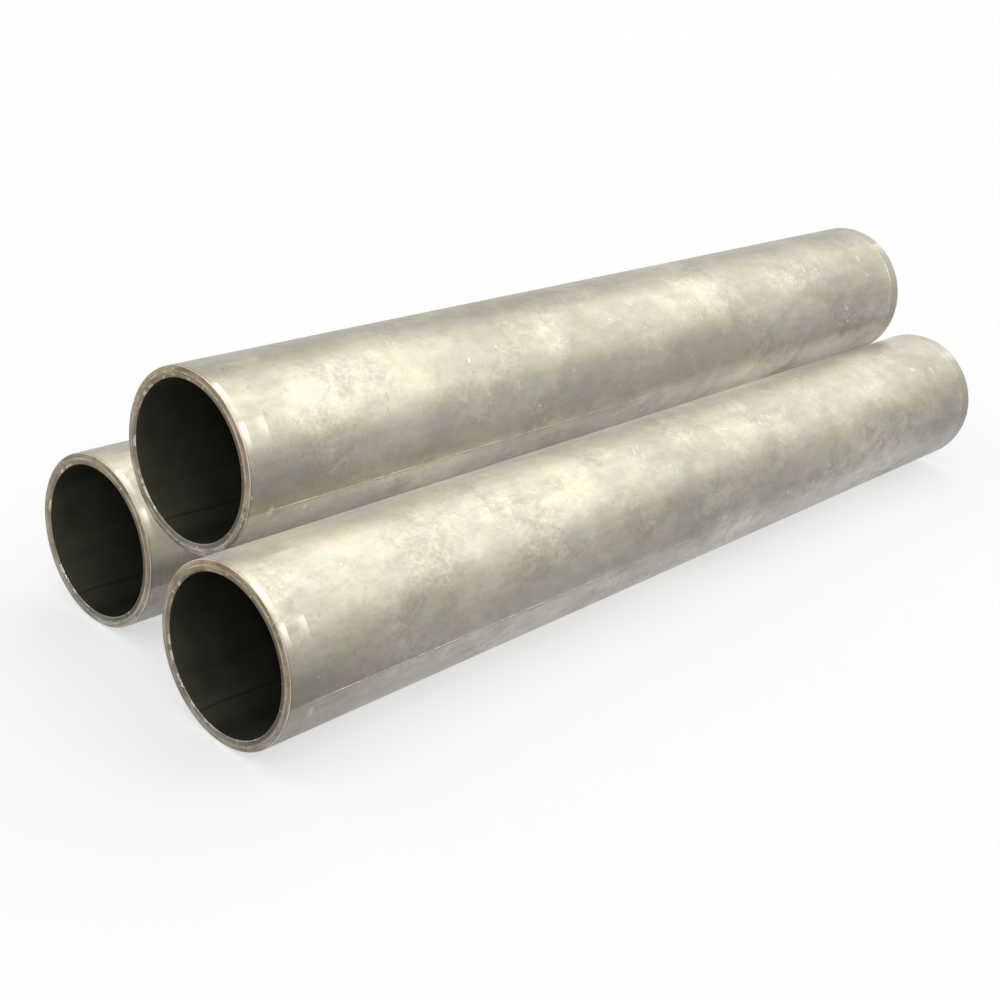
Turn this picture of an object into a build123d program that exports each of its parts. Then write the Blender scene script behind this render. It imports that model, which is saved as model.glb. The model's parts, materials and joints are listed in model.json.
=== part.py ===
from build123d import *
import os
from math import sqrt

# Tube stock, in millimetres
outer_diameter = 168.3
wall = 11.0

# Cut lengths
lower_right_length = 1200.0
lower_left_length = 1160.0
upper_length = 1110.0

# Dressing of the cut ends
outer_chamfer = 1.6
inner_chamfer = 1.0

# Scribed ring around each tube, measured from its far end face
ring_setback = 20.0
ring_width = 1.6
ring_depth = 0.5

# How the tubes lie: two on the floor, the third in the valley between them
lower_gap = 62.0
seat_clearance = 0.3

# How far each near end stands behind the near end of the lower right tube
lower_left_setback = 34.0
upper_setback = 44.0

# Radii, and the cross section of the pile
outer_radius = outer_diameter / 2
bore_radius = outer_radius - wall
lower_axis_x = (outer_diameter + lower_gap) / 2
lower_axis_z = outer_radius
upper_axis_rise = sqrt((outer_diameter + seat_clearance) ** 2 - lower_axis_x**2)
upper_axis_z = lower_axis_z + upper_axis_rise

# Each tube's node name, length, setback and axis
tubes = {
    "lower_left_tube": (lower_left_length, lower_left_setback, -lower_axis_x, lower_axis_z),
    "lower_right_tube": (lower_right_length, 0, lower_axis_x, lower_axis_z),
    "upper_tube": (upper_length, upper_setback, 0, upper_axis_z),
}

# The origin lies half way along the whole pile
pile_near = min(setback for _, setback, _, _ in tubes.values())
pile_far = max(setback + length for length, setback, _, _ in tubes.values())
pile_middle = (pile_near + pile_far) / 2


def tube_profile(length):
    """Half section of one tube: radius along X, distance from the near end along Y."""
    ring_middle = length - ring_setback
    with BuildSketch(Plane.XY) as section:
        with BuildLine():
            Polyline(
                (bore_radius + inner_chamfer, 0),
                (outer_radius - outer_chamfer, 0),
                (outer_radius, outer_chamfer),
                (outer_radius, ring_middle - ring_width / 2),
                (outer_radius - ring_depth, ring_middle),
                (outer_radius, ring_middle + ring_width / 2),
                (outer_radius, length - outer_chamfer),
                (outer_radius - outer_chamfer, length),
                (bore_radius + inner_chamfer, length),
                (bore_radius, length - inner_chamfer),
                (bore_radius, inner_chamfer),
                close=True,
            )
        make_face()
    return section.sketch


def tube(length, setback, axis_x, axis_z):
    """One tube lying along Y, turned from its half section and set in its place in the pile."""
    turned = revolve(tube_profile(length), axis=Axis.Y)
    return Pos(axis_x, setback - pile_middle, axis_z) * turned


os.makedirs("parts", exist_ok=True)
for name, placing in tubes.items():
    export_step(tube(*placing), f"parts/{name}.step")
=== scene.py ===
import json
from functools import partial
from math import cos, pi, radians, sin

import bmesh
import bpy
from mathutils import Matrix, Vector


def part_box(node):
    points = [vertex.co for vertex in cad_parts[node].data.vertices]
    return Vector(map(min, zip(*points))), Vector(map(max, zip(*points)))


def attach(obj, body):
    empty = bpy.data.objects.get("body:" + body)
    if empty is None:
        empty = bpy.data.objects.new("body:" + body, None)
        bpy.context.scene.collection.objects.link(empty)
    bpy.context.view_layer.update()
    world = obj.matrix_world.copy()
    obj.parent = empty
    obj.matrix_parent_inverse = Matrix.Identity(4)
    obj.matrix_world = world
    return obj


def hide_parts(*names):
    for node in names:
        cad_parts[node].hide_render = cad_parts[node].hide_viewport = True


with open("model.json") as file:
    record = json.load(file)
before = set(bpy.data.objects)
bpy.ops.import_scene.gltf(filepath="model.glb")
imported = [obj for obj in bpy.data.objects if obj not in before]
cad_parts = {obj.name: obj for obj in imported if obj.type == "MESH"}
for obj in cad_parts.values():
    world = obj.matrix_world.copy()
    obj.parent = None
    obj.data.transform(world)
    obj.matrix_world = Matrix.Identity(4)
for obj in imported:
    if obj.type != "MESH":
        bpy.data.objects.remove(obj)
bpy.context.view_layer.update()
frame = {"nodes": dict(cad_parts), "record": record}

MM = 0.001

# Cut ends of the tubes, as dressed. The face is bevelled back a little outside its flat land
outer_chamfer = 1.6 * MM
inner_chamfer = 1.0 * MM
arris_round = 0.4 * MM
land_width = 5.8 * MM
face_drop = 0.25 * MM
drop_before_chamfer = 0.6 * face_drop

# Scribed ring, measured from the far end
ring_setback = 20.0 * MM
ring_width = 1.6 * MM
ring_depth = 0.5 * MM

# Two shallow bands pressed into the wall behind the near end
band_setbacks = (10.0 * MM, 29.0 * MM)
band_half_width = 2.6 * MM
band_depth = 0.12 * MM

# Bright prints burnished into the wall, each smoother and with a painted highlight where a glint falls:
# setback from the near end, or below zero from the far end, angle from straight up towards +X, reach along
# and around the tube, and strength. On its crisp sides, the far and the upper one, a print reaches only
# these shares as far
crisp_far = 0.15
crisp_upper = 0.25
glint_prints = (
    (7.0 * MM, radians(20), 9.0 * MM, 30.0 * MM, 0.75),
    (8.0 * MM, radians(49), 9.0 * MM, 24.0 * MM, 0.75),
    (29.0 * MM, radians(48), 12.0 * MM, 24.0 * MM, 0.42),
    (29.0 * MM, radians(103), 9.0 * MM, 14.0 * MM, 0.35),
    (64.0 * MM, radians(2), 48.0 * MM, 9.0 * MM, 0.3),
    (700.0 * MM, radians(24), 170.0 * MM, 60.0 * MM, 0.15),
    (-4.0 * MM, radians(27), 26.0 * MM, 16.0 * MM, 0.5),
    (-72.0 * MM, radians(35), 9.0 * MM, 12.0 * MM, 0.35),
)

# Weld seams: the angle of each from straight up towards +X, and the slice that one takes up. A seam stands
# proud from its start up to a share of the length. Its bright line, a painted highlight, fades in behind
# the start, and out between two such shares
seam_angles = {
    "lower_left_tube": radians(99),
    "lower_right_tube": radians(97),
    "upper_tube": radians(104),
}
seam_slice = radians(2.4)
seam_start = 27 * MM
seam_fade_in = 14 * MM
seam_fade_out = (0.15, 0.75)
proud_share = 0.34
seam_height = 0.12 * MM

# Stretches over which the wall changes, from the near end: the painted shade in the crease behind the
# chamfer ends, the darkening above the seam fades out, bright flecks take over from dark rubs, and the metal
# dims and then brightens again
crease_shade_ends = (2.0 * MM, 3.4 * MM)
darkening_fades = (20 * MM, 130 * MM)
flecks_begin = (160 * MM, 360 * MM)
metal_dims = (330 * MM, 430 * MM)
metal_brightens = (540 * MM, 640 * MM)

# The same as shares of the length: the border along the seam spreads, and the metal dulls towards the far end
border_spreads = (0.1, 0.55)
far_end_dulls = (0.72, 0.95)

# Relief of the wall, how far its bright nicks are bent, and the scale of marks drawn along or around the tube
lump_height = 0.6 * MM
nick_bend = 14 * MM
drawn_along = (1, 0.6, 1)
rubbed_around = (1, 2.4, 1)

# Finish of the cut ends: the line between land and bevel, how far out the rim pales, and in millimetres the
# pitch of the turning rings, drawn coarser than real ones so that they show, and the distance over which they
# come and go
land_edge = 0.6 * MM
rim_pales = 7.0 * MM
turning_pitch = 1.3
turning_patch = 32.5

# Bore: how far from the mouths the painted shade deepens to its darkest, and the line along it below which
# the bore is painted darker as shade, with the angle in radians by which it sways
depth_shade_reach = 120 * MM
bore_line_angle = radians(-158)
bore_line_sway = 0.05

# Fineness of the meshes. A flank is a short stretch beside a broken edge that keeps it from shading the wall
turn_steps = 238
seam_steps = 6
wall_span = 50 * MM
round_segments = 3
flank = 1.2 * MM
sharpest_bend = radians(40)
merge_distance = 0.01 * MM
line_tolerance = 0.05 * MM
bore_tolerance = 0.1 * MM

# Places of the finishes on a tube's mesh, after the wall's own
rim_finish = 1
bore_finish = 2

# Camera
camera_place = Vector((971.0, -1329.6, 759.4)) * MM
camera_heading = radians(38.81)
camera_drop = radians(24.28)
camera_roll = radians(8.03)
camera_lens = 55.73

# Studio: the floor in metres, what it and the surroundings give off, the power per square metre that makes
# a lamp as bright as the surroundings, and the colours of the lamps
floor_radius = 25.0
floor_sides = 96
floor_white = "#E7E7E7"
floor_glow = 0.52
world_fill = 0.6
lamp_power = 4
white = (1.0, 1.0, 1.0)
daylight = (1.0, 1.0, 1.08)

UP = Vector((0, 0, 1))
ALONG = Vector((0, 1, 0))


def linear(hex_colour):
    """An sRGB hex value as linear red, green, blue and alpha."""
    channels = [int(hex_colour[i:i + 2], 16) / 255 for i in (1, 3, 5)]
    return [c / 12.92 if c <= 0.04045 else ((c + 0.055) / 1.055) ** 2.4 for c in channels] + [1.0]


def per(size_mm):
    """Texture scale at which one feature is that many millimetres wide."""
    return 1 / (size_mm * MM)


def add(tree, kind, inputs=None, output=0, **settings):
    """One shader node. Sockets among its inputs are linked, and plain values set. Returns one output."""
    node = tree.nodes.new("ShaderNode" + kind)
    for name, value in settings.items():
        setattr(node, name, value)
    for key, value in (inputs or {}).items():
        if isinstance(value, bpy.types.NodeSocket):
            tree.links.new(value, node.inputs[key])
        else:
            node.inputs[key].default_value = value
    return node.outputs[output] if node.outputs else node


def new_material(name):
    """An empty material, and the function that adds nodes to it."""
    made = bpy.data.materials.new(name)
    made.use_nodes = True
    made.node_tree.nodes.clear()
    return made, partial(add, made.node_tree)


def stripe(make, value, middle, edge, core):
    """A soft line where a value passes the middle: 1 within its core, fading to 0 at its edge."""
    off = make("Math", {0: value, 1: middle}, operation="SUBTRACT")
    away = make("Math", {0: off}, operation="ABSOLUTE")
    return make("MapRange", {"Value": away, "From Min": edge, "From Max": core})


# Camera at the photograph's viewing angle


def set_camera():
    """The camera at its place, turned by its heading, drop and roll."""
    lens = bpy.data.cameras.new("camera")
    lens.lens = camera_lens
    camera = bpy.data.objects.new("camera", lens)
    bpy.context.scene.collection.objects.link(camera)
    heading = Matrix.Rotation(camera_heading, 4, "Z")
    drop = Matrix.Rotation(pi / 2 - camera_drop, 4, "X")
    roll = Matrix.Rotation(camera_roll, 4, "Z")
    camera.matrix_world = Matrix.Translation(camera_place) @ heading @ drop @ roll
    bpy.context.scene.camera = camera


# Studio: white floor, white surroundings and large soft lamps


def seen_directly(make):
    """1 for rays that show the background itself, in the picture or mirrored, and 0 for its light."""
    straight = make("LightPath", output="Is Camera Ray")
    mirrored = make("LightPath", output="Is Glossy Ray")
    through = make("LightPath", output="Is Transmission Ray")
    either = make("Math", {0: straight, 1: mirrored}, operation="MAXIMUM")
    return make("Math", {0: either, 1: through}, operation="MAXIMUM")


def white_floor():
    """A white studio floor that keeps soft shadows and fades into the white surroundings."""
    mesh = bpy.data.meshes.new("floor")
    shape = bmesh.new()
    bmesh.ops.create_circle(shape, cap_ends=True, segments=floor_sides, radius=floor_radius)
    shape.to_mesh(mesh)
    shape.free()
    floor = bpy.data.objects.new("floor", mesh)
    bpy.context.scene.collection.objects.link(floor)
    made, make = new_material("matt_white_paper")
    paper = make("BsdfDiffuse", {"Color": linear(floor_white)})
    glow = make("Math", {0: seen_directly(make), 1: floor_glow}, operation="MULTIPLY")
    bright = make("Emission", {"Color": linear("#FFFFFF"), "Strength": glow})
    lit = make("AddShader", {0: paper, 1: bright})
    under = make("NewGeometry", output="Backfacing")
    clear = make("BsdfTransparent")
    make("OutputMaterial", {"Surface": make("MixShader", {0: under, 1: lit, 2: clear})})
    mesh.materials.append(made)


def white_surroundings():
    """Surroundings that are seen as full white, in the picture and in the metal, and light the scene less."""
    world = bpy.data.worlds.new("white_studio")
    world.use_nodes = True
    world.node_tree.nodes.clear()
    make = partial(add, world.node_tree)
    strength = make("MapRange", {"Value": seen_directly(make), "To Min": world_fill, "To Max": 1.0})
    make("OutputWorld", {"Surface": make("Background", {"Color": linear("#FFFFFF"), "Strength": strength})})
    bpy.context.scene.world = world


def softbox(name, place, aim, width, length, brightness, colour, *lit):
    """A rectangular soft lamp at a place, facing a point, with its brightness in terms of the surroundings'.
    It lights the tubes named and casts no shadow, so that the valleys between the tubes stay open."""
    lamp = bpy.data.lights.new(name, "AREA")
    lamp.shape = "RECTANGLE"
    lamp.size = width
    lamp.size_y = length
    lamp.energy = brightness * lamp_power * width * length
    lamp.color = colour
    lamp.use_shadow = False
    lamp.cycles.use_multiple_importance_sampling = False
    made = bpy.data.objects.new(name, lamp)
    bpy.context.scene.collection.objects.link(made)
    facing = (Vector(aim) - Vector(place)).to_track_quat("-Z", "Y")
    made.matrix_world = Matrix.Translation(place) @ facing.to_matrix().to_4x4()
    made.visible_camera = False
    receivers = bpy.data.collections.new(name + "_receivers")
    for node in lit:
        receivers.objects.link(bpy.data.objects[node + "_finished"])
    made.light_linking.receiver_collection = receivers


# Finishes


def tube_axes(make, place, centre):
    """Distance along a tube from its near end, and angle around it from straight up towards +X."""
    own = make("Mapping", {"Vector": place, "Location": -centre})
    axes = make("SeparateXYZ", {0: own}).node.outputs
    angle = make("Math", {0: axes["X"], 1: axes["Z"]}, operation="ARCTAN2")
    return axes["Y"], angle


def wall_patches(make, place):
    """Where the wall is bared, worn, brushed, flecked, pitted or smudged, from the size of such patches in
    millimetres and the values of a noise over which they set in."""
    drawn = make("Mapping", {"Vector": place, "Scale": drawn_along})
    patches = {}
    for mark, size, low, high in (
        ("bared", 54, 0.50, 0.58),
        ("worn", 62, 0.44, 0.60),
        ("brushed", 88, 0.45, 0.62),
        ("flecked", 46, 0.58, 0.66),
        ("pitted", 66, 0.52, 0.62),
        ("smudged", 34, 0.59, 0.69),
    ):
        noise = make("TexNoise", {"Vector": drawn, "Scale": per(size), "Detail": 5.0, "Distortion": 0.4})
        patches[mark] = make("MapRange", {"Value": noise, "From Min": low, "From Max": high})
    return patches


def mottling(make, place, patches):
    """Light and dark of the metal: clouds, long swells, mottle, grain, blotches, arcs around the tube and
    lines drawn along it, the grain and lines coarser than real ones so that they show. Each has a size in
    millimetres, stretch, detail, distortion, the value of the noise up to which it stays darkest, a depth,
    and the patches that it keeps to."""
    shade = 1.0
    for size, stretch, detail, bend, ground, depth, mark in (
        (88, (1, 0.7, 1), 9.0, 0.5, 0.44, 0.38, None),
        (360, (1, 1, 1), 1.0, 0.0, 0.0, 0.14, None),
        (10, (1, 0.5, 1), 4.0, 0.8, 0.0, 0.17, None),
        (2.6, (1, 0.6, 1), 2.0, 0.0, 0.0, 0.26, "worn"),
        (20, (1, 0.8, 1), 4.0, 1.0, 0.38, 0.36, "worn"),
        (18, (1, 9, 1), 2.0, 0.3, 0.0, 0.05, "brushed"),
        (6, (1, 0.03, 1), 1.0, 0.0, 0.0, 0.06, None),
    ):
        pulled = make("Mapping", {"Vector": place, "Scale": stretch})
        noise = make("TexNoise", {"Vector": pulled, "Scale": per(size), "Detail": detail, "Distortion": bend})
        darkest = 1 + (2 * ground - 1) * depth
        layer = make("MapRange", {"Value": noise, "From Min": ground, "To Min": darkest, "To Max": 1 + depth})
        if mark:
            layer = make("Mix", {0: patches[mark], 2: 1.0, 3: layer})
        shade = make("Math", {0: shade, 1: layer}, operation="MULTIPLY")
    return shade


def below_seam(make, place, along, angle, length, seam_angle):
    """0 above the weld seam and 1 below it, with a border that is crisp along the seam and spreads where the
    seam fades out."""
    start, end = [share * length for share in border_spreads]
    reach = make("MapRange", {
        "Value": along, "From Min": start, "From Max": end, "To Min": radians(0.6), "To Max": radians(8),
    })
    fray = make("TexNoise", {"Vector": place, "Scale": per(30), "Detail": 4.0})
    sway = make("MapRange", {"Value": fray, "To Min": -1.5, "To Max": 1.5})
    frayed = make("Math", {0: sway, 1: reach, 2: angle}, operation="MULTIPLY_ADD")
    upper = make("Math", {0: seam_angle, 1: reach}, operation="SUBTRACT")
    lower = make("Math", {0: seam_angle, 1: reach}, operation="ADD")
    return make("MapRange", {"Value": frayed, "From Min": upper, "From Max": lower})


def wall_tones(make, along, angle, flank_angle, below, bared, length):
    """How bright the metal is: painted shade down both sides and towards the underside, paler below the
    seam as a painted reflection of the floor and paler where it is bared, with painted shade in the crease
    behind the chamfer, a dim stretch, a dull far end, and darker above the seam near the end."""
    dull_start, dull_end = [share * length for share in far_end_dulls]
    ring = length - ring_setback
    shade = 1.0
    # Painted shade on the flanks and in the crease, and a painted floor reflection below the seam
    for value, start, end, before, after in (
        (flank_angle, radians(58), radians(96), 1.0, 0.88),
        (flank_angle, radians(104), radians(150), 1.0, 0.84),
        (below, 0.0, 1.0, 1.0, 1.42),
        (bared, 0.0, 1.0, 0.98, 1.08),
        (along, *crease_shade_ends, 0.72, 1.0),
        (along, *metal_dims, 1.0, 0.955),
        (along, *metal_brightens, 1.0, 1.047),
        (along, dull_start, dull_end, 1.0, 0.915),
        (along, ring, ring + MM, 1.0, 0.9),
    ):
        tone = make("MapRange", {
            "Value": value, "From Min": start, "From Max": end, "To Min": before, "To Max": after,
        })
        shade = make("Math", {0: shade, 1: tone}, operation="MULTIPLY")
    # Darker above the seam near the end, fading out along the tube
    darkest_until, clear_from = darkening_fades
    near_darkening = make("MapRange", {"Value": along, "From Min": darkest_until, "From Max": clear_from, "To Min": 0.74})
    over_seam = make("MapRange", {"Value": angle, "From Min": radians(62), "From Max": radians(86)})
    darker_above_seam = make("Mix", {0: over_seam, 2: 1.0, 3: near_darkening})
    return make("Math", {0: shade, 1: darker_above_seam}, operation="MULTIPLY")


def metal_colour(make, place, flank_angle, below):
    """Warm and neutral patches of the metal, with faint tints of every hue, greyer low on both sides
    and below the seam as a painted tint of the surroundings and the floor that it reflects there."""
    patch = make("TexNoise", {"Vector": place, "Scale": per(70), "Detail": 4.0, "Roughness": 0.6})
    warmth = make("MapRange", {"Value": patch, "From Min": 0.35, "From Max": 0.65})
    colour = make("Mix", {0: warmth, 6: linear("#A19D8D"), 7: linear("#A39D8A")}, output=2, data_type="RGBA")
    # Greyer low on the sides and below the seam: a painted tint of what the metal reflects there
    reflection_grey = make("MapRange", {
        "Value": flank_angle, "From Min": radians(60), "From Max": radians(88), "To Max": 0.6,
    })
    colour = make("Mix", {0: reflection_grey, 6: colour, 7: linear("#9D9890")}, output=2, data_type="RGBA")
    colour = make("Mix", {0: below, 6: colour, 7: linear("#9D9992")}, output=2, data_type="RGBA")
    hue = make("TexNoise", {"Vector": place, "Scale": per(26), "Detail": 3.0}, output="Color")
    return make("Mix", {0: 0.08, 6: colour, 7: hue}, output=2, data_type="RGBA", blend_type="SOFT_LIGHT")


def burnished_glints(make, along, angle, outer, length):
    """How far the wall is burnished by its bright prints, each also a painted highlight, crisp on its upper
    and far sides and smeared out on the other two."""
    burnish_and_glint = 0.0
    for setback, middle, reach_along, reach_around, strength in glint_prints:
        there = setback if setback > 0 else length + setback
        turned = reach_around / outer
        spot = strength
        for value, edge, core in (
            (along, there - reach_along, there),
            (along, there + crisp_far * reach_along, there),
            (angle, middle - crisp_upper * turned, middle),
            (angle, middle + turned, middle),
        ):
            ends = {"Value": value, "From Min": edge, "From Max": core}
            ramp = make("MapRange", ends, interpolation_type="SMOOTHSTEP")
            spot = make("Math", {0: spot, 1: ramp}, operation="MULTIPLY")
        burnish_and_glint = make("Math", {0: burnish_and_glint, 1: spot}, operation="MAXIMUM")
    return burnish_and_glint


def mark_wall(make, place, along, angle, patches, colour):
    """Adds clusters of bright flecks, short dark rubs near the end, clusters of pits, a few bright nicks bent
    around the tube, and brown smudges low on its side."""
    rubs_only, flecks_only = flecks_begin
    near = make("MapRange", {"Value": along, "From Min": flecks_only, "From Max": rubs_only})
    far = make("MapRange", {"Value": along, "From Min": rubs_only, "From Max": flecks_only})
    flecked = make("Math", {0: patches["flecked"], 1: far}, operation="MULTIPLY")
    low_side = make("MapRange", {"Value": angle, "From Min": radians(92), "From Max": radians(112)})
    chips = make("TexNoise", {
        "Vector": place, "Scale": per(7.0), "Detail": 4.0, "Roughness": 0.6, "Distortion": 0.6,
    })
    around = make("Mapping", {"Vector": place, "Scale": rubbed_around})
    rubs = make("TexNoise", {"Vector": around, "Scale": per(7.0), "Detail": 2.0, "Distortion": 0.5})
    grit = make("TexNoise", {"Vector": place, "Scale": per(3.0), "Detail": 1.0})
    curl = make("TexNoise", {"Vector": place, "Scale": per(14)}, output="Color")
    bent = make("VectorMath", {0: curl, 1: [nick_bend] * 3, 2: place}, operation="MULTIPLY_ADD")
    struck = make("Mapping", {"Vector": bent, "Scale": rubbed_around})
    nicks = make("TexVoronoi", {"Vector": struck, "Scale": per(54)})
    for mask, pattern, low, high, strength, tint in (
        (flecked, chips, 0.57, 0.66, 0.42, "#DDD6C4"),
        (near, rubs, 0.37, 0.25, 0.34, "#6B6453"),
        (patches["pitted"], grit, 0.27, 0.22, 0.7, "#57513F"),
        (1.0, nicks, 0.05, 0.025, 0.45, "#E2DCCC"),
        (low_side, patches["smudged"], 0.0, 1.0, 0.4, "#6F6357"),
    ):
        found = make("MapRange", {"Value": pattern, "From Min": low, "From Max": high, "To Max": strength})
        spot = make("Math", {0: found, 1: mask}, operation="MULTIPLY")
        colour = make("Mix", {0: spot, 6: colour, 7: linear(tint)}, output=2, data_type="RGBA")
    return colour


def line_seam(make, along, angle, length, seam_angle, colour):
    """Adds the seam's broken line: a painted highlight along it, with a painted shadow under it."""
    gaps = make("TexNoise", {
        "W": along, "Scale": per(40), "Detail": 6.0, "Roughness": 0.7,
    }, noise_dimensions="1D")
    whole = make("MapRange", {"Value": gaps, "From Min": 0.44, "From Max": 0.58, "To Min": 0.05})
    line_full = seam_start + seam_fade_in
    from_start = make("MapRange", {"Value": along, "From Min": seam_start, "From Max": line_full})
    fade_start, fade_end = [share * length for share in seam_fade_out]
    to_end = make("MapRange", {"Value": along, "From Min": fade_end, "From Max": fade_start})
    # A painted shadow just under the seam's line, and the line itself as a painted highlight
    for offset, width, tint in ((0.9, 0.8, "#8A8378"), (0.0, 0.6, "#DED6C6")):
        line = stripe(make, angle, seam_angle + radians(offset), radians(width), radians(0.3 * width))
        for mask in (whole, from_start, to_end):
            line = make("Math", {0: line, 1: mask}, operation="MULTIPLY")
        colour = make("Mix", {0: line, 6: colour, 7: linear(tint)}, output=2, data_type="RGBA")
    return colour


def line_ring(make, place, along, length, colour):
    """Adds the marks of the scribed ring, all broken: painted shade on its near side, a painted highlight
    on the lip of its far side, and a fainter scribe in front."""
    rubbed = make("TexNoise", {"Vector": place, "Scale": per(18), "Detail": 3.0})
    broken = make("MapRange", {"Value": rubbed, "From Min": 0.42, "From Max": 0.58, "To Min": 0.15})
    # Painted shade on the ring's near side, a painted highlight on its far lip, and a fainter light scribe
    for setback, strength, tint in (
        (ring_setback + 0.5 * MM, 0.9, "#4F493D"),
        (ring_setback - 0.6 * MM, 0.35, "#D8D1C1"),
        (ring_setback + 5.5 * MM, 0.3, "#D8D1C1"),
    ):
        line = stripe(make, along, length - setback, 0.7 * MM, 0.2 * MM)
        for mask in (strength, broken):
            line = make("Math", {0: line, 1: mask}, operation="MULTIPLY")
        colour = make("Mix", {0: line, 6: colour, 7: linear(tint)}, output=2, data_type="RGBA")
    return colour


def pickled_steel(name, centre, outer, length, seam_angle):
    """Drawn steel tube, pickled in acid to a satin finish: a warm grey metal with cloudy blotches, bared and
    worn patches, prints with painted highlights, clusters of bright flecks, short dark rubs and a few pits,
    painted shade down its sides, and paler below its weld seam as a painted reflection of the floor. A fine
    unevenness breaks up what it reflects."""
    made, make = new_material(name)
    place = make("TexCoord", output="Object")
    along, angle = tube_axes(make, place, centre)
    flank_angle = make("Math", {0: angle}, operation="ABSOLUTE")
    patches = wall_patches(make, place)
    below = below_seam(make, place, along, angle, length, seam_angle)

    # Colour
    mottled = mottling(make, place, patches)
    tones = wall_tones(make, along, angle, flank_angle, below, patches["bared"], length)
    shade = make("Math", {0: mottled, 1: tones}, operation="MULTIPLY")
    colour = metal_colour(make, place, flank_angle, below)
    colour = make("Mix", {0: 1.0, 6: colour, 7: shade}, output=2, data_type="RGBA", blend_type="MULTIPLY")
    # Burnished prints: smoother metal, with a painted highlight where a glint falls
    burnish_and_glint = burnished_glints(make, along, angle, outer, length)
    colour = make("Mix", {0: burnish_and_glint, 6: colour, 7: linear("#DDD7C0")}, output=2, data_type="RGBA")
    colour = mark_wall(make, place, along, angle, patches, colour)
    colour = line_seam(make, along, angle, length, seam_angle, colour)
    colour = line_ring(make, place, along, length, colour)

    # Relief and gloss
    drawn = make("Mapping", {"Vector": place, "Scale": drawn_along})
    lumps = make("TexNoise", {"Vector": drawn, "Scale": per(26), "Detail": 4.0, "Roughness": 0.55})
    height = make("Math", {0: lumps, 1: lump_height}, operation="MULTIPLY")
    relief = make("Bump", {"Height": height, "Distance": 1.0})
    dull = make("TexNoise", {"Vector": place, "Scale": per(44), "Detail": 5.0, "Distortion": 0.5})
    rough = make("MapRange", {
        "Value": dull, "From Min": 0.3, "From Max": 0.7, "To Min": 0.34, "To Max": 0.54,
    })
    rough = make("Mix", {0: burnish_and_glint, 2: rough, 3: 0.24})
    make("OutputMaterial", {"Surface": make("BsdfPrincipled", {
        "Base Color": colour,
        "Metallic": 1.0,
        "Roughness": rough,
        "Normal": relief,
    })})
    return made


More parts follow.
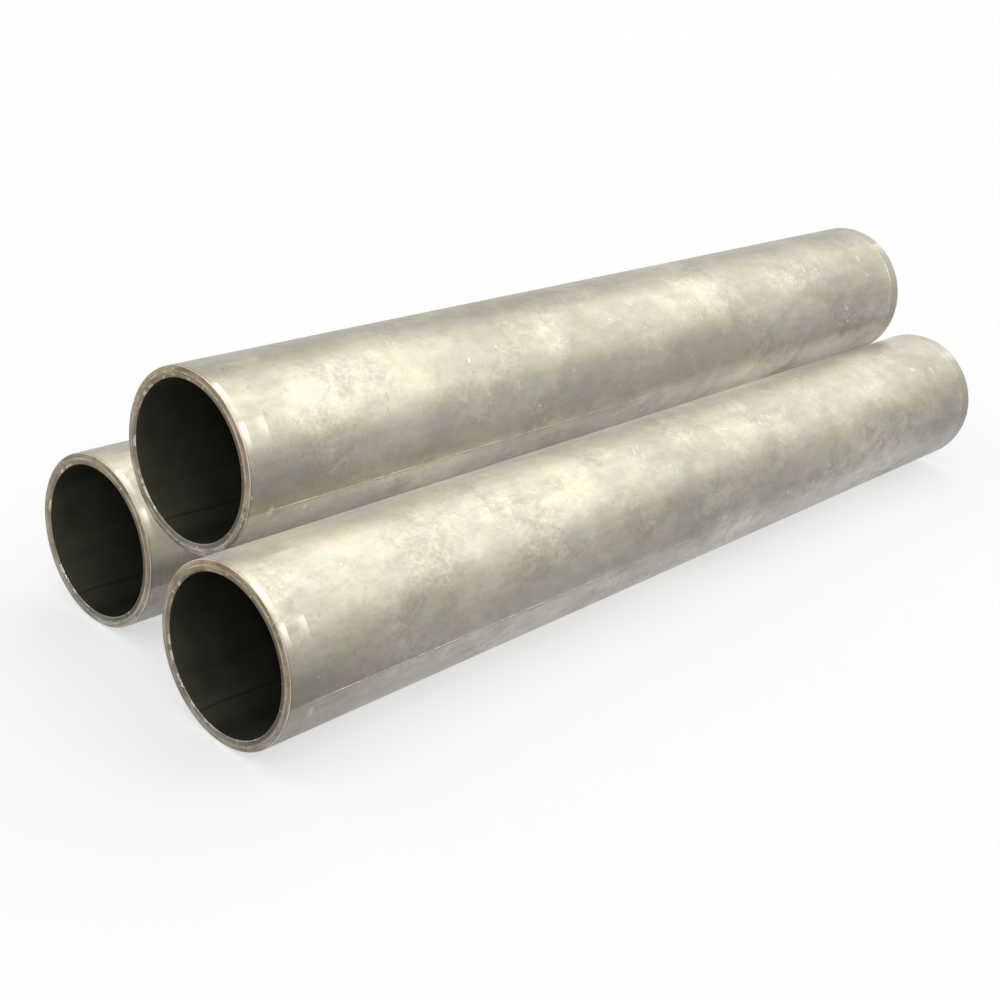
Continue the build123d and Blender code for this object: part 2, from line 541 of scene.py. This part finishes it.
def faced_steel(name, centre, outer, bore):
    """Steel rim faced in a lathe: khaki on its land and mauve brown outside it, with fine turning rings,
    bright edges that are partly painted highlight, a painted shadow line on the land's right side,
    and nicks, browner above than below."""
    made, make = new_material(name)
    place = make("TexCoord", output="Object")
    across = make("Mapping", {"Vector": place, "Location": -centre * Vector((1, 0, 1)), "Scale": (1, 0, 1)})
    radius = make("VectorMath", {0: across}, output="Value", operation="LENGTH")
    sides = make("SeparateXYZ", {0: across}).node.outputs

    # Land and bevel, stained, with turning rings that come and go around the face
    land_radius = bore + land_width
    bevel_radius = land_radius + land_edge
    outside = make("MapRange", {"Value": radius, "From Min": land_radius, "From Max": bevel_radius})
    blotch = make("TexNoise", {"Vector": place, "Scale": per(24), "Detail": 4.0, "Roughness": 0.6})
    stain = make("MapRange", {"Value": blotch, "From Min": 0.35, "From Max": 0.65})
    khaki = make("Mix", {0: stain, 6: linear("#777060"), 7: linear("#979080")}, output=2, data_type="RGBA")
    mauve = make("Mix", {0: stain, 6: linear("#6E665B"), 7: linear("#938A7D")}, output=2, data_type="RGBA")
    colour = make("Mix", {0: outside, 6: khaki, 7: mauve}, output=2, data_type="RGBA")
    paler = make("MapRange", {
        "Value": radius, "From Min": bore, "From Max": bore + rim_pales, "To Min": 0.72, "To Max": 1.25,
    })
    colour = make("Mix", {0: 1.0, 6: colour, 7: paler}, output=2, data_type="RGBA", blend_type="MULTIPLY")
    slow = make("Mapping", {"Vector": place, "Scale": [turning_pitch / turning_patch] * 3})
    rings = make("TexNoise", {
        "Vector": slow, "W": radius, "Scale": per(turning_pitch), "Detail": 2.0,
    }, noise_dimensions="4D")
    turned = make("MapRange", {
        "Value": rings, "From Min": 0.3, "From Max": 0.7, "To Min": 0.68, "To Max": 1.28,
    })
    colour = make("Mix", {0: 1.0, 6: colour, 7: turned}, output=2, data_type="RGBA", blend_type="MULTIPLY")

    # Rings of their own, as radius, half width, tint and where they show: chips beside the bore, the line
    # between land and bevel, a painted shadow line inside it, mostly on the right, a painted highlight on the
    # inner edge, mostly on the right, and the outer edge, partly wear and partly painted highlight
    wear = make("TexNoise", {"Vector": place, "Scale": per(30), "Detail": 4.0, "Roughness": 0.65})
    worn = make("MapRange", {"Value": wear, "From Min": 0.44, "From Max": 0.60})
    painted_right_side = make("MapRange", {
        "Value": sides["X"], "From Min": 0.1 * bore, "From Max": 0.9 * bore, "To Min": 0.1,
    })
    left = make("MapRange", {"Value": sides["X"], "From Min": 0.1 * bore, "From Max": -0.8 * bore})
    chipped = make("TexNoise", {"Vector": place, "Scale": per(11), "Detail": 3.0})
    chips = make("MapRange", {"Value": chipped, "From Min": 0.55, "From Max": 0.61})
    left_chips = make("Math", {0: left, 1: chips}, operation="MULTIPLY")
    worn_and_lit_edge = make("MapRange", {"Value": wear, "From Min": 0.36, "From Max": 0.56, "To Min": 0.35})
    for middle, half_width, tint, mask in (
        (bore + 1.4 * MM, 1.9 * MM, "#C6C0AF", left_chips),
        (land_radius, 0.8 * MM, "#BDB4A4", worn),
        (bore + 2.4 * MM, 2.4 * MM, "#5F584B", painted_right_side),
        (bore, 0.9 * MM, "#D6CFC0", painted_right_side),
        (outer, 0.9 * MM, "#D3C9BA", worn_and_lit_edge),
    ):
        ring = stripe(make, radius, middle, half_width, 0.5 * half_width)
        shown = make("Math", {0: ring, 1: mask}, operation="MULTIPLY")
        colour = make("Mix", {0: shown, 6: colour, 7: linear(tint)}, output=2, data_type="RGBA")

    # Nicks, and a cast that is brown above and grey below
    grit = make("TexNoise", {"Vector": place, "Scale": per(4.5), "Detail": 2.0})
    for low, high, tint in ((0.66, 0.74, "#D5CFB4"), (0.33, 0.26, "#4A453B")):
        nick = make("MapRange", {"Value": grit, "From Min": low, "From Max": high, "To Max": 0.7})
        colour = make("Mix", {0: nick, 6: colour, 7: linear(tint)}, output=2, data_type="RGBA")
    raised = make("MapRange", {"Value": sides["Z"], "From Min": -0.8 * outer, "From Max": 0.6 * outer})
    cast = make("Mix", {0: raised, 6: linear("#F8FCFF"), 7: linear("#FFF7EA")}, output=2, data_type="RGBA")
    colour = make("Mix", {0: 1.0, 6: colour, 7: cast}, output=2, data_type="RGBA", blend_type="MULTIPLY")
    make("OutputMaterial", {"Surface": make("BsdfPrincipled", {
        "Base Color": colour,
        "Metallic": 1.0,
        "Roughness": 0.36,
    })})
    return made


def scaled_bore(name, centre, length):
    """Bore left with its mill scale: a near black olive oxide, dull, paler at the mouths, with painted shade
    that darkens it deeper in and towards the bottom, and a thin dark line along it."""
    made, make = new_material(name)
    place = make("TexCoord", output="Object")
    along, angle = tube_axes(make, place, centre)
    # Painted shade: the scale's colour at the mouths darkens to near black deeper in
    back = make("Math", {0: length, 1: along}, operation="SUBTRACT")
    depth = make("Math", {0: along, 1: back}, operation="MINIMUM")
    share = make("MapRange", {"Value": depth, "From Max": depth_shade_reach})
    depth_shade = make("Math", {0: share, 1: 0.42}, operation="POWER")
    colour = make("Mix", {0: depth_shade, 6: linear("#403F34"), 7: linear("#050502")}, output=2, data_type="RGBA")
    cloud = make("TexNoise", {"Vector": place, "Scale": per(45), "Detail": 4.0})
    drawn = make("Mapping", {"Vector": place, "Scale": (1, 0.03, 1)})
    streaks = make("TexNoise", {"Vector": drawn, "Scale": per(14), "Detail": 3.0})
    least = bore_line_angle - bore_line_sway
    most = bore_line_angle + bore_line_sway
    sway = make("MapRange", {"Value": cloud, "To Min": least, "To Max": most})
    past = make("Math", {0: sway, 1: angle}, operation="SUBTRACT")
    bottom = make("Math", {0: past, 1: pi, 2: -pi}, operation="WRAP")
    beside = make("Math", {0: bottom}, operation="ABSOLUTE")
    # Scale clouds and streaks, painted shade towards the bottom that lifts up the right wall, and a dark line
    for value, start, end, before, after in (
        (cloud, 0.3, 0.7, 0.75, 1.25),
        (streaks, 0.3, 0.7, 0.88, 1.12),
        (bottom, radians(-65), radians(-2), 1.0, 0.6),
        (bottom, 0.0, radians(24), 1.0, 0.4),
        (bottom, radians(70), radians(130), 1.0, 3.0),
        (beside, radians(1.5), radians(0.5), 1.0, 0.55),
    ):
        shade = make("MapRange", {
            "Value": value, "From Min": start, "From Max": end, "To Min": before, "To Max": after,
        })
        colour = make("Mix", {0: 1.0, 6: colour, 7: shade}, output=2, data_type="RGBA", blend_type="MULTIPLY")
    make("OutputMaterial", {"Surface": make("BsdfPrincipled", {
        "Base Color": colour,
        "Roughness": 0.9,
        "Specular IOR Level": 0.02,
    })})
    return made


# Tubes


def end_section(outer, bore):
    """Corners of one cut end from the bore outwards, as radius and depth behind the end."""
    return [
        (bore, inner_chamfer + flank),
        (bore, inner_chamfer),
        (bore + inner_chamfer, 0),
        (bore + inner_chamfer + flank, 0),
        (bore + land_width, 0),
        (outer - outer_chamfer - flank, drop_before_chamfer),
        (outer - outer_chamfer, face_drop),
        (outer, outer_chamfer),
        (outer, outer_chamfer + flank),
    ]


def groove(outer, middle, half_width, depth):
    """Corners of a V groove around the wall, with flanks beside it."""
    return [
        (outer, middle - half_width - flank),
        (outer, middle - half_width),
        (outer - depth, middle),
        (outer, middle + half_width),
        (outer, middle + half_width + flank),
    ]


def tube_profile(shape, centre, outer, bore, length):
    """Half section of one tube as a closed wire above its axis, with its sharp edges rounded."""
    end = end_section(outer, bore)
    section = end[:]
    for setback in band_setbacks:
        section += groove(outer, setback, band_half_width, band_depth)
    section += groove(outer, length - ring_setback, ring_width / 2, ring_depth)
    section += [(radius, length - depth) for radius, depth in reversed(end)]
    corners = []
    for radius, along in section:
        corners.append(shape.verts.new(centre + UP * radius + ALONG * along))
    for pair in zip(corners, corners[1:] + corners[:1]):
        shape.edges.new(pair)
    bmesh.ops.bevel(
        shape, geom=[corner for corner in corners if corner.calc_edge_angle() > sharpest_bend],
        offset=arris_round, offset_type="OFFSET", segments=round_segments, profile=0.5,
        affect="VERTICES", material=-1,
    )
    for edge in shape.edges[:]:
        spans = int(edge.calc_length() / wall_span)
        if spans > 1:
            bmesh.ops.subdivide_edges(shape, edges=[edge], cuts=spans - 1)


def turn(shape, centre, seam_angle):
    """Turns the half section about the tube's axis, with finer steps over the slice that holds the seam."""
    axis = {"cent": centre, "axis": ALONG}
    half_slice = seam_slice / 2
    bmesh.ops.rotate(
        shape, verts=shape.verts, cent=centre, matrix=Matrix.Rotation(seam_angle + half_slice, 3, "Y"),
    )
    section = shape.verts[:] + shape.edges[:]
    swept = bmesh.ops.spin(shape, geom=section, angle=2 * pi - seam_slice, steps=turn_steps, **axis)
    bmesh.ops.spin(shape, geom=swept["geom_last"], angle=seam_slice, steps=seam_steps, **axis)
    bmesh.ops.remove_doubles(shape, verts=shape.verts, dist=merge_distance)
    bmesh.ops.recalc_face_normals(shape, faces=shape.faces)


def raise_seam(shape, centre, outer, length, seam_angle):
    """Lifts the middle line of the seam's slice a little off the wall."""
    out = Vector((sin(seam_angle), 0, cos(seam_angle)))
    for vert in shape.verts:
        away = vert.co - centre
        along = away.dot(ALONG)
        on_line = (away - ALONG * along - out * outer).length < line_tolerance
        if on_line and seam_start < along < proud_share * length:
            vert.co += out * seam_height


def tube(node, pile):
    """One tube with its finish, in place of the plain CAD solid."""
    low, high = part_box(node)
    centre = Vector(((low.x + high.x) / 2, low.y, (low.z + high.z) / 2))
    outer = (high.x - low.x) / 2
    length = high.y - low.y
    seam_angle = seam_angles[node]
    bore_mount = node.replace("_tube", "_bore")
    bore = next(m["dims"]["r_mm"] * MM for m in frame["record"]["mounts"] if m["name"] == bore_mount)
    shape = bmesh.new()
    tube_profile(shape, centre, outer, bore, length)
    turn(shape, centre, seam_angle)
    raise_seam(shape, centre, outer, length, seam_angle)
    for face in shape.faces:
        face.smooth = True
        away = face.calc_center_median() - centre
        along = away.dot(ALONG)
        if (away - ALONG * along).length < bore + bore_tolerance:
            face.material_index = bore_finish
        elif not outer_chamfer < along < length - outer_chamfer:
            face.material_index = rim_finish
    mesh = bpy.data.meshes.new(node + "_finished")
    shape.to_mesh(mesh)
    shape.free()
    mesh.materials.append(pickled_steel("pickled_steel_" + node, centre, outer, length, seam_angle))
    mesh.materials.append(faced_steel("faced_steel_" + node, centre, outer, bore))
    mesh.materials.append(scaled_bore("scaled_bore_" + node, centre, length))
    piece = bpy.data.objects.new(node + "_finished", mesh)
    pile.objects.link(piece)
    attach(piece, "root")
    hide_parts(node)


pile = bpy.data.collections.new("pile")
bpy.context.scene.collection.children.link(pile)
for node in frame["nodes"]:
    tube(node, pile)

set_camera()
white_floor()
white_surroundings()

# Lamps, in metres: place, the point that each faces, width, length, brightness, colour and the tubes lit
softbox(
    "overhead", (0.45, 0.8, 2.4), (0.45, 0.8, 0), 5.6, 7.8, 1.28, daylight,
    "lower_left_tube", "lower_right_tube",
)
softbox("upper_overhead", (1.75, 0, 2.4), (1.75, 0, 0), 5.4, 7.8, 1.35, daylight, "upper_tube")
softbox("valley_card", (-3.7, 1.9, 0.7), (0, 0, 0.2), 4.8, 3.6, 0.62, white, "lower_right_tube")
softbox("seat_card", (0.25, 1.0, -1.2), (0.1, 0.2, 0.2), 1.6, 2.4, 0.36, white, "upper_tube")
softbox("back_card", (1.5, 1.1, 0.1), (-0.115, -0.5, 0.1), 1.6, 1.4, 1.1, white, "lower_left_tube")

bpy.context.scene.view_settings.view_transform = "Standard"
